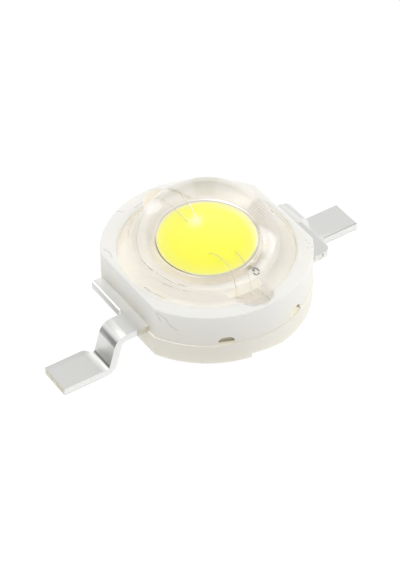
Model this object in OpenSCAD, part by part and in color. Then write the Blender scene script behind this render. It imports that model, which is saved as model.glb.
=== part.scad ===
// High power light emitter: a chip in a cupped metal slug, a moulded body, two bent leads and a dome lens.
// Millimetres. Origin at the centre of the underside, X along the leads, Z up.

/* [Body] */
// Diameter of the moulded body
body_d = 8.0; // [7.8:0.1:9]
// Distance across the two flats that the leads leave
flat_w = 7.1; // [6.9:0.1:7.6]
// Height of the body's underside above the board
body_z = 0.45; // [0.3:0.05:0.6]
// Height of the body's rim above the board
rim_z = 2.7; // [2.6:0.05:3.2]
// Height of the line where the two halves of the mould meet
parting_z = 1.33; // [1.2:0.01:1.5]
// Step that this line leaves in the side
parting_step = 0.03; // [0.01:0.01:0.06]
// Width of the rim around the lens
rim_wall = 0.65; // [0.5:0.05:0.8]
// Depth of the well below the rim
well_depth = 0.35; // [0.3:0.05:0.5]

/* [Bond pockets] */
// Width of the pocket over each bond pad
pocket_w = 1.3; // [1.2:0.05:1.8]
// Wall left between the pocket and the slug
pocket_inner_wall = 0.45; // [0.35:0.05:0.5]
// Wall left between the pocket and the outside
pocket_outer_wall = 0.2; // [0.15:0.05:0.4]

/* [Side windows and notch] */
// Width of each side window
window_w = 0.65; // [0.4:0.05:0.9]
// Height of each side window above the parting line
window_h = 0.38; // [0.35:0.01:0.5]
// Depth of each side window
window_depth = 0.8; // [0.3:0.05:0.85]
// Angles of the windows, counted from the middle of the side
window_angles = [-23.5, 21.5];
// Width of the notch in the bottom edge
notch_w = 1.3; // [0.8:0.1:1.8]
// Height of the notch at its deeper end
notch_h = 0.2; // [0.1:0.05:0.3]
// Height of the notch at its shallower end
notch_low = 0.05; // [0.02:0.01:0.09]
// Depth of the notch
notch_depth = 0.5; // [0.3:0.05:0.7]

/* [Slug] */
// Diameter of the slug's base
slug_base_d = 5.8; // [5:0.1:6.2]
// Height of the slug's base
slug_base_h = 0.9; // [0.8:0.05:1.0]
// Depth of the groove that locks the base in the body
slug_groove = 0.15; // [0.1:0.05:0.3]
// Width of this groove
slug_groove_h = 0.15; // [0.1:0.01:0.2]
// Diameter of the slug's neck and of its cup
neck_d = 2.9; // [2.6:0.05:3.0]
// Height of the cup's lip above the floor of the well
cup_stand = 0.25; // [0.1:0.05:0.35]
// Thickness of the cup's lip
cup_lip = 0.08; // [0.05:0.01:0.15]
// Depth of the cup
cup_depth = 0.4; // [0.35:0.01:0.5]
// Diameter of the cup's floor
cup_floor_d = 2.0; // [1.8:0.05:2.2]

/* [Leads] */
// Length over the two lead tips
lead_span = 14.3; // [14:0.1:16]
// Thickness of the strip
lead_t = 0.3; // [0.2:0.02:0.34]
// Height of the strip's underside inside the body
lead_z = 1.3; // [1.2:0.01:1.35]
// Distance from the long axis to the foot's inner edge
foot_inner_y = 0.05; // [0:0.01:0.1]
// Distance from the long axis to the lead's outer edge
foot_outer_y = 1.41; // [1.2:0.01:1.5]
// Radius of the foot's corner beside the narrower neck
foot_corner_r = 0.3; // [0.1:0.01:0.4]
// Straight length between the flat and the first bend
neck_root = 0.9; // [0.9:0.05:1.1]
// Steepness of the sloping part
bend_angle = 74; // [60:1:85]
// Inside radius of the upper bend
upper_bend_r = 0.24; // [0.1:0.01:0.3]
// Inside radius of the lower bend
lower_bend_r = 0.14; // [0.06:0.01:0.2]
// How far each wing stands out from its flat, first the anode and then the cathode
wing_reach = [0.45, 0.95];
// Rounding of each wing's free corner
wing_corner = [0.06, 0.3];
// Distance from the long axis to the wing's free end
wing_free_y = 1.75; // [1.4:0.05:1.8]
// How far the wing's cut end stands past the neck
wing_cut = 0.04; // [0:0.01:0.08]
// Width of the relief between wing and neck
relief_w = 0.18; // [0.1:0.01:0.25]
// Depth of this relief
relief_depth = 0.13; // [0.05:0.01:0.2]
// Depth of the wing in the body
wing_seat = 0.25; // [0.15:0.05:0.3]
// Plastic between the slug's neck and the inner arm
arm_gap = 0.35; // [0.25:0.05:0.45]
// Plastic between the inner arm and the outside of the well
arm_edge = 0.1; // [0.05:0.05:0.2]
// Sweep of the inner arm from the lead to the end of its bond pad
arm_sweep = 117; // [112:1:125]

/* [Chip and filling] */
// Side of the square chip
die_w = 1.1; // [0.9:0.05:1.15]
// Thickness of the chip
die_t = 0.15; // [0.1:0.01:0.17]
// Thickness of the layer under the chip
attach_t = 0.03; // [0.02:0.01:0.05]
// How far this layer shows around the chip
attach_margin = 0.05; // [0.02:0.01:0.08]
// Rise of the yellow filling above the cup's lip
phosphor_rise = 0.2; // [0.1:0.01:0.25]

/* [Bond wires] */
// Diameter of the wires
wire_d = 0.025; // [0.02:0.005:0.05]
// Diameter of the ball on the chip
ball_d = 0.09; // [0.07:0.01:0.12]
// Height of this ball
ball_h = 0.025; // [0.02:0.005:0.04]
// Side step of each wire at the chip
wire_die_x = [-0.27, 0.48, -0.22, -0.1];
// Distance of the wires' balls from the chip's centre
wire_die_y = 0.34; // [0.2:0.01:0.4]
// Step outwards of each wire as it leaves the chip
wire_lean = [0, 0.4, 0.4, 0.45];
// Height that each wire gains in this step
wire_climb = [0.48, 0.18, 0.18, 0.18];
// Side step of each wire at the top of its loop
wire_loop_x = [-0.2, 0.33, -0.2, 0.18];
// Height of each loop above the cup's lip
wire_loop = [0.4, 0.35, 0.42, 0.4];
// Side step of each wire where it comes down on its pad
wire_drop_x = [-0.33, 0.22, -0.2, 0.25];
// Distance of this place from the middle
wire_drop_y = [2.42, 2.5, 2.45, 2.42];
// Side step of each wire's end, past the bond
wire_pad_x = [-0.1, 0.22, -0.14, 0.22];
// Distance of each wire's end from the middle
wire_pad_y = [2.57, 2.66, 2.62, 2.58];

/* [Lens] */
// Radius of the dome
dome_r = 2.9; // [2.7:0.05:3.0]
// Depth of the dome's centre below the floor of the well
dome_sink = 0.1; // [0:0.05:0.3]
// Thickness of the dome's wall
lens_wall = 0.6; // [0.5:0.05:0.7]
// Thickness of the flange
flange_t = 0.25; // [0.15:0.05:0.25]
// Gap between the flange and the rim
flange_fit = 0.05; // [0.03:0.01:0.08]
// Radius of the filling notch in the flange
fill_notch_r = 0.22; // [0.15:0.01:0.3]
// Angle of the filling notch from the middle of its pocket
fill_notch_angle = 8; // [0:1:8]
// Depth of the filling's surface below the flange's top
gel_sink = 0.03; // [0.01:0.01:0.06]

/* [Hidden] */
$fn = 96;
// Cutters run this far past the faces that they open
past = 0.5;
// Number of wires, of steps in each half of a wire's curve, and of sides around it
wires = 4;
wire_steps = 12;
wire_sides = 8;
// Where a loop's top lies between chip and cup wall, and how its curve eases on both sides
loop_place = 0.72;
rise_ease = 0.57;
fall_pull = 0.6;
fall_ease = 0.46;

body_r = body_d / 2;
flat_x = flat_w / 2;
well_r = body_r - rim_wall;
floor_z = rim_z - well_depth;
lead_top = lead_z + lead_t;
neck_r = neck_d / 2;
lip_z = floor_z + cup_stand;
cup_r = neck_r - cup_lip;
cup_z = lip_z - cup_depth;
die_z = cup_z + attach_t;
die_top = die_z + die_t;
arm_in_r = neck_r + arm_gap;
arm_out_r = well_r - arm_edge;
pocket_in = neck_r + pocket_inner_wall;
pocket_out = body_r - pocket_outer_wall;
dome_z = floor_z - dome_sink;
flange_r = well_r - flange_fit;
flange_top = floor_z + flange_t;
cap_r = (cup_r * cup_r + phosphor_rise * phosphor_rise) / (2 * phosphor_rise);
neck_inner_y = foot_inner_y + foot_corner_r;
neck_w = foot_outer_y - neck_inner_y;
bend_x = flat_x + neck_root;
// Both bends and the strip between them, measured across the slope
bend_stack = upper_bend_r + lead_t + lower_bend_r;
bend_drop = lead_z - bend_stack * (1 - cos(bend_angle));
slope_len = bend_drop / sin(bend_angle);
foot_x = bend_x + bend_stack * sin(bend_angle) + slope_len * cos(bend_angle);

function bezier(p, t) = pow(1 - t, 3) * p[0] + 3 * t * pow(1 - t, 2) * p[1]
    + 3 * t * t * (1 - t) * p[2] + pow(t, 3) * p[3];

// A wire's curve from the chip to where it comes down on its pad
function wire_curve(k) =
    let (start_z = die_top + ball_h, loop_z = lip_z + wire_loop[k], end_z = lead_top + wire_d / 2,
        peak_y = (neck_r + wire_die_y) * loop_place,
        ease_y = wire_die_y + (peak_y - wire_die_y) * rise_ease, lean = wire_drop_y[k] - pocket_in,
        rise = [[wire_die_x[k], -wire_die_y, start_z],
            [wire_die_x[k], -wire_die_y - wire_lean[k], start_z + wire_climb[k]],
            [wire_loop_x[k], -ease_y, loop_z], [wire_loop_x[k], -peak_y, loop_z]],
        fall = [[wire_loop_x[k], -peak_y, loop_z], [wire_loop_x[k], -pocket_in - lean * fall_pull, loop_z],
            [wire_drop_x[k], -pocket_in - lean * fall_ease, end_z], [wire_drop_x[k], -wire_drop_y[k], end_z]])
    concat([for (i = [0 : wire_steps]) bezier(rise, i / wire_steps)],
        [for (i = [1 : wire_steps]) bezier(fall, i / wire_steps)]);

// The body's outline between two heights
module body_half(r, x, z0, z1) {
    intersection() {
        translate([0, 0, z0]) cylinder(r = r, h = z1 - z0);
        translate([-x, -r, z0]) cube([2 * x, 2 * r, z1 - z0]);
    }
}

// A long hole towards the front with a round outer end, between two heights
module pocket(z0, z1) {
    half = pocket_w / 2;
    translate([0, 0, z0]) linear_extrude(z1 - z0) {
        translate([-half, -pocket_out + half]) square([pocket_w, pocket_out - half - pocket_in]);
        translate([0, -pocket_out + half]) circle(r = half);
    }
}

// One side window with a flat sill and an arched top
module window(angle) {
    rotate([0, 0, angle]) translate([0, window_depth - body_r, parting_z]) rotate([90, 0, 0])
        linear_extrude(window_depth + past) intersection() {
            union() {
                translate([-window_w / 2, 0]) square([window_w, window_h - window_w / 2]);
                translate([0, window_h - window_w / 2]) circle(d = window_w);
            }
            translate([-window_w, 0]) square([2 * window_w, window_h]);
        }
}

// The notch in the bottom edge, with a sloping roof
module notch() {
    half = notch_w / 2;
    translate([0, notch_depth - body_r, body_z]) rotate([90, 0, 0]) linear_extrude(notch_depth + past)
        polygon([[-half, -past], [half, -past], [half, notch_low], [-half, notch_h]]);
}

// Everything that the front side has, and the back side has again
module both_sides() {
    for (turn = [0, 180]) rotate([0, 0, turn]) children();
}

module slug_form() {
    groove_z = (body_z + slug_base_h - slug_groove_h) / 2;
    difference() {
        cylinder(d = slug_base_d, h = slug_base_h);
        translate([0, 0, groove_z]) difference() {
            cylinder(d = slug_base_d + 2 * past, h = slug_groove_h);
            cylinder(d = slug_base_d - 2 * slug_groove, h = slug_groove_h);
        }
    }
    cylinder(r = neck_r, h = lip_z);
}

// Side view of a strip that bends down round the origin, with a straight part before and after
module bend(r, before, after) {
    outside = r + lead_t;
    difference() {
        union() {
            circle(r = outside);
            translate([-before, 0]) square([before, outside]);
            rotate(-bend_angle) square([after, outside]);
        }
        circle(r = r);
        translate([-before - past, -outside - past]) square([before + past, r + outside + past]);
        rotate(-bend_angle) translate([0, -outside - past]) square([after + past, r + outside + past]);
    }
}

// The whole strip of one lead, here the one that points along +X
module lead_form(reach, corner) {
    far_x = flat_x + reach;
    seat_x = flat_x - wing_seat;
    cut_y = foot_outer_y + wing_cut;
    foot_len = lead_span / 2 - foot_x;
    // Inner arm, with the bond pad at its end
    rotate_extrude(angle = arm_sweep)
        translate([arm_in_r, lead_z]) square([arm_out_r - arm_in_r, lead_t]);
    // Wing along the flat
    translate([0, 0, lead_z]) linear_extrude(lead_t) difference() {
        union() {
            translate([seat_x, corner - wing_free_y])
                square([far_x - seat_x, cut_y + wing_free_y - corner]);
            translate([seat_x, -wing_free_y]) square([far_x - seat_x - corner, 2 * corner]);
            translate([far_x - corner, corner - wing_free_y]) circle(r = corner);
        }
        translate([far_x - relief_depth, neck_inner_y - relief_w]) square([past, relief_w]);
    }
    // Neck with both bends, down to the tip
    translate([0, foot_outer_y, 0]) rotate([90, 0, 0]) linear_extrude(neck_w) {
        translate([bend_x, lead_z - upper_bend_r]) bend(upper_bend_r, bend_x - arm_in_r, slope_len);
        translate([foot_x, lead_t + lower_bend_r]) rotate(180) bend(lower_bend_r, foot_len, slope_len);
    }
    // The foot's inner side, where it is wider than the neck
    linear_extrude(lead_t) {
        translate([foot_x + foot_corner_r, foot_inner_y])
            square([foot_len - foot_corner_r, 2 * foot_corner_r]);
        translate([foot_x + foot_corner_r, neck_inner_y]) circle(r = foot_corner_r);
    }
}

module anode_form() {
    rotate([0, 0, 180]) lead_form(wing_reach[0], wing_corner[0]);
}

module cathode_form() {
    lead_form(wing_reach[1], wing_corner[1]);
}

// One wire as a thin tube along its curve, with a ball on the chip and a straight end on its pad
module wire_form(k) {
    points = wire_curve(k);
    last = len(points) - 1;
    along = points[last] - points[0];
    side = [-along[1], along[0], 0] / norm([along[0], along[1]]);
    rings = [for (n = [0 : last])
        let (ahead = points[min(n + 1, last)] - points[max(n - 1, 0)], up = cross(side, ahead) / norm(ahead))
        for (s = [0 : wire_sides - 1])
            points[n] + wire_d / 2 * (cos(s * 360 / wire_sides) * side + sin(s * 360 / wire_sides) * up)];
    walls = [for (n = [0 : last - 1], s = [0 : wire_sides - 1])
        let (next = (s + 1) % wire_sides, a = n * wire_sides, b = a + wire_sides)
        [a + s, b + s, b + next, a + next]];
    start_cap = [[for (s = [0 : wire_sides - 1]) s]];
    end_cap = [[for (s = [wire_sides - 1 : -1 : 0]) last * wire_sides + s]];
    polyhedron(rings, concat(walls, start_cap, end_cap), convexity = 8);
    translate([wire_die_x[k], -wire_die_y, die_top]) cylinder(d = ball_d, h = ball_h + wire_d / 2);
    tail = [wire_pad_x[k] - wire_drop_x[k], wire_drop_y[k] - wire_pad_y[k]];
    translate(points[last]) rotate([0, 90, atan2(tail[1], tail[0])]) translate([0, 0, -wire_d])
        cylinder(d = wire_d, h = norm(tail) + wire_d);
}

module placed_wire(k) {
    rotate([0, 0, k < wires / 2 ? 0 : 180]) wire_form(k);
}

module phosphor_form() {
    translate([0, 0, cup_z]) cylinder(d1 = cup_floor_d, r2 = cup_r, h = cup_depth);
    intersection() {
        translate([0, 0, lip_z + phosphor_rise - cap_r]) sphere(r = cap_r);
        translate([0, 0, lip_z]) cylinder(r = cup_r, h = 2 * phosphor_rise);
    }
}

module attach_form() {
    side = die_w + 2 * attach_margin;
    translate([-side / 2, -side / 2, cup_z]) cube([side, side, attach_t]);
}

module die_form() {
    translate([-die_w / 2, -die_w / 2, die_z]) cube([die_w, die_w, die_t]);
}

module flange_form(r) {
    difference() {
        translate([0, 0, floor_z]) cylinder(r = r, h = flange_t);
        both_sides() rotate([0, 0, fill_notch_angle])
            translate([0, -flange_r, floor_z - past]) cylinder(r = fill_notch_r, h = flange_t + 2 * past);
    }
}

module dome_form(r) {
    intersection() {
        translate([0, 0, dome_z]) sphere(r = r);
        translate([0, 0, floor_z]) cylinder(r = r + past, h = 2 * r);
    }
}

module housing() {
    color("whitesmoke") difference() {
        union() {
            body_half(body_r, flat_x, body_z, parting_z);
            body_half(body_r - parting_step, flat_x - parting_step, parting_z, rim_z);
        }
        translate([0, 0, floor_z]) cylinder(r = well_r, h = well_depth + past);
        both_sides() {
            pocket(lead_top, rim_z + past);
            notch();
            for (angle = window_angles) window(angle);
        }
        slug_form();
        anode_form();
        cathode_form();
    }
}

module heat_slug() {
    color("silver") difference() {
        slug_form();
        translate([0, 0, cup_z]) cylinder(d1 = cup_floor_d, r2 = cup_r, h = cup_depth);
    }
}

module anode_lead() {
    color("lightgray") anode_form();
}

module cathode_lead() {
    color("lightgray") cathode_form();
}

module die_attach() {
    color("gray") attach_form();
}

module led_die() {
    color("lightsteelblue") die_form();
}

module phosphor_fill() {
    color("yellow") difference() {
        phosphor_form();
        attach_form();
        die_form();
        for (i = [0 : wires - 1]) placed_wire(i);
    }
}

module bond_wire_1() {
    color("goldenrod") placed_wire(0);
}

module bond_wire_2() {
    color("goldenrod") placed_wire(1);
}

module bond_wire_3() {
    color("goldenrod") placed_wire(2);
}

module bond_wire_4() {
    color("goldenrod") placed_wire(3);
}

module silicone_gel() {
    color("white", 0.3) difference() {
        union() {
            dome_form(dome_r - lens_wall);
            both_sides() pocket(lead_top, floor_z);
            difference() {
                both_sides() pocket(floor_z, flange_top - gel_sink);
                flange_form(flange_r);
            }
        }
        translate([0, 0, lead_top - past]) cylinder(r = neck_r, h = lip_z - lead_top + past);
        phosphor_form();
        for (i = [0 : wires - 1]) placed_wire(i);
    }
}

module lens() {
    color("white", 0.3) difference() {
        union() {
            flange_form(flange_r);
            dome_form(dome_r);
        }
        dome_form(dome_r - lens_wall);
    }
}

housing();
heat_slug();
anode_lead();
cathode_lead();
die_attach();
led_die();
phosphor_fill();
bond_wire_1();
bond_wire_2();
bond_wire_3();
bond_wire_4();
silicone_gel();
lens();
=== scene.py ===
import math

import bmesh
import bpy
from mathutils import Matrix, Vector


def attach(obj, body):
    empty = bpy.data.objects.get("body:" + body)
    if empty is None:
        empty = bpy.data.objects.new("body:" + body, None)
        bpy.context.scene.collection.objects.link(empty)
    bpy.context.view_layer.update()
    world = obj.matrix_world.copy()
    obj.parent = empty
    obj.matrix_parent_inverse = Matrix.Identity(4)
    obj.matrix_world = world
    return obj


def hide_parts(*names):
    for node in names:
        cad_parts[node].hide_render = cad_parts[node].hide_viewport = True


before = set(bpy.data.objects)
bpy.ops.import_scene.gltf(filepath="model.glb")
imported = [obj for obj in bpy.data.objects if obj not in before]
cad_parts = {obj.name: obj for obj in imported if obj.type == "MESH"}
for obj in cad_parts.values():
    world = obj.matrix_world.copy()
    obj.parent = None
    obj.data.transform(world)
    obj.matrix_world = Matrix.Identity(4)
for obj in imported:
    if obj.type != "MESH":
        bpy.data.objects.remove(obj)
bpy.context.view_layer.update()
print("frame loaded")


# Hand tools. Pieces are shaped in millimetres and brought to metres by finishPiece.

def deselectAll():
    if bpy.context.object and bpy.context.object.mode != "OBJECT":
        bpy.ops.object.mode_set(mode="OBJECT")
    bpy.ops.object.select_all(action="DESELECT")


def makeActive(piece):
    deselectAll()
    piece.select_set(True)
    bpy.context.view_layer.objects.active = piece


def editAll(piece):
    makeActive(piece)
    bpy.ops.object.mode_set(mode="EDIT")
    bpy.ops.mesh.select_mode(type="VERT")
    bpy.ops.mesh.select_all(action="SELECT")


def leaveEdit():
    bpy.ops.object.mode_set(mode="OBJECT")


def editSelect(piece, kind, test):
    editAll(piece)
    bpy.ops.mesh.select_mode(type=kind)
    bpy.ops.mesh.select_all(action="DESELECT")
    mesh = bmesh.from_edit_mesh(piece.data)
    for part in {"VERT": mesh.verts, "EDGE": mesh.edges, "FACE": mesh.faces}[kind]:
        if test(part):
            part.select_set(True)
    mesh.select_flush_mode()
    bmesh.update_edit_mesh(piece.data)


def both(edge, test):
    return all(test(v.co) for v in edge.verts)


def bevelEdges(piece, test, offset, segments):
    editSelect(piece, "EDGE", test)
    bpy.ops.mesh.bevel(offset=offset, segments=segments, affect="EDGES")
    leaveEdit()


def namedActive(name):
    piece = bpy.context.active_object
    piece.name = name
    bpy.ops.object.transform_apply(location=True, rotation=True, scale=True)
    return piece


def addBox(name, low, high):
    deselectAll()
    bpy.ops.mesh.primitive_cube_add(size=1, location=[(a + b) / 2 for a, b in zip(low, high)])
    bpy.context.active_object.scale = [b - a for a, b in zip(low, high)]
    return namedActive(name)


def addCylinder(name, radius, bottom, top, y=0, sides=192):
    deselectAll()
    bpy.ops.mesh.primitive_cylinder_add(vertices=sides, radius=radius, depth=top - bottom,
                                        location=(0, y, (bottom + top) / 2))
    return namedActive(name)


def arc(x, z, radius, start, end, steps):
    turns = [math.radians(start + (end - start) * i / steps) for i in range(steps + 1)]
    return [(x + radius * math.cos(t), z + radius * math.sin(t)) for t in turns]


def drawLine(name, points):
    # a plane merged to one vertex, drawn from point to point; the piece stays in edit mode
    deselectAll()
    bpy.ops.mesh.primitive_plane_add(size=0.1, location=points[0])
    piece = namedActive(name)
    editAll(piece)
    bpy.ops.mesh.merge(type="CENTER")
    for a, b in zip(points, points[1:]):
        bpy.ops.mesh.extrude_region_move(TRANSFORM_OT_translate={"value": [q - p for p, q in zip(a, b)]})
    bpy.ops.mesh.select_all(action="SELECT")
    return piece


def plate(name, outline, low, high):
    # a flat outline, counted anticlockwise, filled and raised
    piece = drawLine(name, [(x, y, low) for x, y in outline])
    bpy.ops.mesh.edge_face_add()
    bpy.ops.mesh.extrude_region_move(TRANSFORM_OT_translate={"value": (0, 0, high - low)})
    bpy.ops.mesh.select_all(action="SELECT")
    bpy.ops.mesh.normals_make_consistent(inside=False)
    leaveEdit()
    return piece


def lathe(name, outline, steps):
    piece = drawLine(name, [(r, 0, z) for r, z in outline])
    bpy.ops.mesh.spin(steps=steps, angle=math.radians(360), center=(0, 0, 0), axis=(0, 0, 1))
    bpy.ops.mesh.select_all(action="SELECT")
    bpy.ops.mesh.remove_doubles(threshold=0.0002)
    bpy.ops.mesh.normals_make_consistent(inside=False)
    leaveEdit()
    return piece


def turned(piece, degrees):
    makeActive(piece)
    piece.rotation_euler = (0, 0, math.radians(degrees))
    bpy.ops.object.transform_apply(location=True, rotation=True, scale=True)
    return piece


def carve(piece, cutter, operation="DIFFERENCE"):
    makeActive(piece)
    modifier = piece.modifiers.new("carve", "BOOLEAN")
    modifier.operation = operation
    modifier.object = cutter
    modifier.solver = "EXACT"
    bpy.ops.object.modifier_apply(modifier=modifier.name)
    bpy.data.objects.remove(cutter)


def join(piece, other):
    carve(piece, other, "UNION")


def soften(piece, width, segments, angle=40):
    makeActive(piece)
    modifier = piece.modifiers.new("soften", "BEVEL")
    modifier.width = width
    modifier.segments = segments
    modifier.limit_method = "ANGLE"
    modifier.angle_limit = math.radians(angle)
    bpy.ops.object.modifier_apply(modifier=modifier.name)


def finishPiece(piece, materials, replaces, smooth=35, evenFlats=True):
    makeActive(piece)
    piece.scale = (0.001, 0.001, 0.001)
    bpy.ops.object.transform_apply(location=True, rotation=True, scale=True)
    bpy.ops.object.shade_smooth_by_angle(angle=math.radians(smooth))
    if evenFlats:
        modifier = piece.modifiers.new("weigh", "WEIGHTED_NORMAL")
        modifier.keep_sharp = True
        bpy.ops.object.modifier_apply(modifier=modifier.name)
    piece.data.materials.clear()
    for material in materials:
        piece.data.materials.append(material)
    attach(piece, "root")
    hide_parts(*replaces)
    edges = {}
    for polygon in piece.data.polygons:
        for key in polygon.edge_keys:
            edges[key] = edges.get(key, 0) + 1
    print(piece.name, len(piece.data.polygons), "faces,", sum(n != 2 for n in edges.values()), "open edges")


# Shader maths. A Value wraps a socket, a Shader makes the nodes.

class Value:
    def __init__(self, socket):
        self.socket = socket

    def math(self, operation, other=None, swap=False, clamp=False):
        tree = self.socket.id_data
        node = tree.nodes.new("ShaderNodeMath")
        node.operation = operation
        node.use_clamp = clamp
        for slot, item in zip(node.inputs, (other, self) if swap else (self, other)):
            if isinstance(item, Value):
                tree.links.new(item.socket, slot)
            elif item is not None:
                slot.default_value = item
        return Value(node.outputs[0])

    def __add__(self, other):
        return self.math("ADD", other)

    def __mul__(self, other):
        return self.math("MULTIPLY", other)

    def __sub__(self, other):
        return self.math("SUBTRACT", other)

    def __rsub__(self, other):
        return self.math("SUBTRACT", other, swap=True)

    def __truediv__(self, other):
        return self.math("DIVIDE", other)

    def __gt__(self, other):
        return self.math("GREATER_THAN", other)

    def __lt__(self, other):
        return self.math("LESS_THAN", other)


class Shader:
    def __init__(self, name, kind="materials"):
        self.owner = getattr(bpy.data, kind).new(name)
        self.owner.use_nodes = True
        self.tree = self.owner.node_tree
        self.tree.nodes.clear()

    def node(self, kind, settings={}, sockets={}, output=0):
        node = self.tree.nodes.new("ShaderNode" + kind)
        for name, value in settings.items():
            setattr(node, name, value)
        for name, value in sockets.items():
            if isinstance(value, Value):
                self.tree.links.new(value.socket, node.inputs[name])
            else:
                node.inputs[name].default_value = value
        return Value(node.outputs[output])

    def vector(self, operation, first, second=None, scale=None, output=0):
        sockets = {0: first}
        if second is not None:
            sockets[1] = second
        if scale is not None:
            sockets["Scale"] = scale
        return self.node("VectorMath", {"operation": operation}, sockets, output)

    def place(self):
        # Object coordinates in millimetres
        return self.vector("SCALE", self.node("TexCoord", output=3), scale=1000.0)

    def axes(self, vector):
        split = self.node("SeparateXYZ", sockets={0: vector})
        outputs = split.socket.node.outputs
        return [Value(outputs[i]) for i in range(3)]

    def length(self, x, y):
        return (x * x + y * y).math("SQRT")

    def noise(self, vector, scale, detail=3.0, roughness=0.5):
        return self.node("TexNoise", sockets={"Vector": vector, "Scale": scale, "Detail": detail,
                                              "Roughness": roughness})

    def ramp(self, value, low, high, fromLow=0.0, fromHigh=1.0):
        return self.node("MapRange", {"clamp": True}, {
            "Value": value, "From Min": fromLow, "From Max": fromHigh, "To Min": low, "To Max": high})

    def rise(self, value, start, end):
        # 0 up to start, 1 from end on
        return self.ramp(value, 0.0, 1.0, start, end)

    def fall(self, value, start, end):
        return self.ramp(value, 1.0, 0.0, start, end)

    def band(self, value, middle, half, soft):
        # 1 near the middle value, fading to 0 past half
        away = (value - middle).math("ABSOLUTE")
        return self.fall(away, half, half + soft)

    def patch(self, first, second, bands):
        # where two values are both in their bands
        return self.band(first, *bands[0]) * self.band(second, *bands[1])

    def within(self, value, limits):
        return (value > limits[0]) * (value < limits[1])

    def choose(self, mask, inside, outside):
        return mask * (inside - outside) + outside

    def mix(self, factor, first, second):
        return self.node("Mix", {"data_type": "RGBA"}, {0: factor, 6: first, 7: second}, output=2)

    def layers(self, color, parts):
        # each part, a factor and a colour, lies over the ones before
        for factor, tone in parts:
            color = self.mix(factor, color, tone)
        return color

    def segment(self, vector, a, b):
        # distance from the line between a and b
        a, b = Vector(a), Vector(b)
        along = b - a
        fromA = self.vector("SUBTRACT", vector, a)
        share = self.vector("DOT_PRODUCT", fromA, along / along.length_squared, output=1)
        foot = self.vector("SCALE", along, scale=share.math("MULTIPLY", 1.0, clamp=True))
        return self.vector("DISTANCE", fromA, foot, output=1)

    def largest(self, values):
        total = values[0]
        for value in values[1:]:
            total = total.math("MAXIMUM", value)
        return total

    def strokes(self, vector, paths, half, soft):
        # 1 along lines drawn through points, fading to 0
        return self.largest([self.fall(self.segment(vector, a, b), half, half + soft)
                             for path in paths for a, b in zip(path, path[1:])])

    def spots(self, vector, places, radius, soft):
        return self.largest([self.fall(self.vector("DISTANCE", vector, Vector(place), output=1),
                                       radius, radius + soft) for place in places])

    def paintedGlow(self, parts):
        # painted light: a sum of colours, each times its factor
        lights = [self.vector("SCALE", color, scale=factor) for color, factor in parts]
        total = lights[0]
        for light in lights[1:]:
            total = self.vector("ADD", total, light)
        return total

    def bump(self, height, strength, distance):
        return self.node("Bump", sockets={"Height": height, "Strength": strength, "Distance": distance})

    def principled(self, **sockets):
        names = {"color": "Base Color", "roughness": "Roughness", "metallic": "Metallic", "normal": "Normal",
                 "ior": "IOR", "transmission": "Transmission Weight", "specular": "Specular IOR Level",
                 "emission": "Emission Color", "emissionStrength": "Emission Strength",
                 "subsurface": "Subsurface Weight", "subsurfaceRadius": "Subsurface Radius",
                 "subsurfaceScale": "Subsurface Scale"}
        return self.node("BsdfPrincipled", sockets={names[key]: value for key, value in sockets.items()})

    def finish(self, shader, output="ShaderNodeOutputMaterial"):
        last = self.tree.nodes.new(output)
        self.tree.links.new(shader.socket, last.inputs["Surface"])
        return self.owner


# Materials. A band is a middle, a half width and a fade, a span the two ends of a rise or fall.

# painted shade among these: the rim's darker tone at the right and the windows' dark insides; the marks'
# colour also draws painted shade lines
plasticLook = {
    "white": (0.95, 0.935, 0.88, 1), "low": (0.91, 0.865, 0.755, 1), "cloud": (0.96, 0.92, 0.86, 1),
    "rim": (0.85, 0.85, 0.8, 1), "well": (0.97, 0.93, 0.86, 1), "ribs": (0.66, 0.61, 0.52, 1),
    "paintedRipple": (0.86, 0.83, 0.86, 1), "grey": (0.80, 0.81, 0.72, 1), "marksAndShade": (0.32, 0.33, 0.31, 1),
    "paintedWindowShade": (0.32, 0.29, 0.19, 1), "lowSpan": (0.5, 2.4), "rimSpan": (2.5, 3.4),
}

# painted light: the glow that each area is given under the clear dome or at an edge; white is a painted glint
# along the scratch lines
plasticPaintedLight = {
    "well": (0.226, 0.207, 0.172), "outer": (0.085, 0.08, 0.075), "front": (0.005, 0.014, 0.026),
    "leafHighlight": (0.2, 0.2, 0.22), "pocket": (0.06, 0.06, 0.065), "rearPocket": (0.22, 0.2, 0.165),
    "gap": (0.12, 0.11, 0.1), "white": (0.1, 0.11, 0.13), "overWing": (0.2, 0.195, 0.185),
    "rim": (0.1, 0.09, 0.08), "window": (0.12, 0.11, 0.08), "sill": (0.16, 0.165, 0.155),
    "ledge": (0.2, 0.19, 0.16),
}

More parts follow.
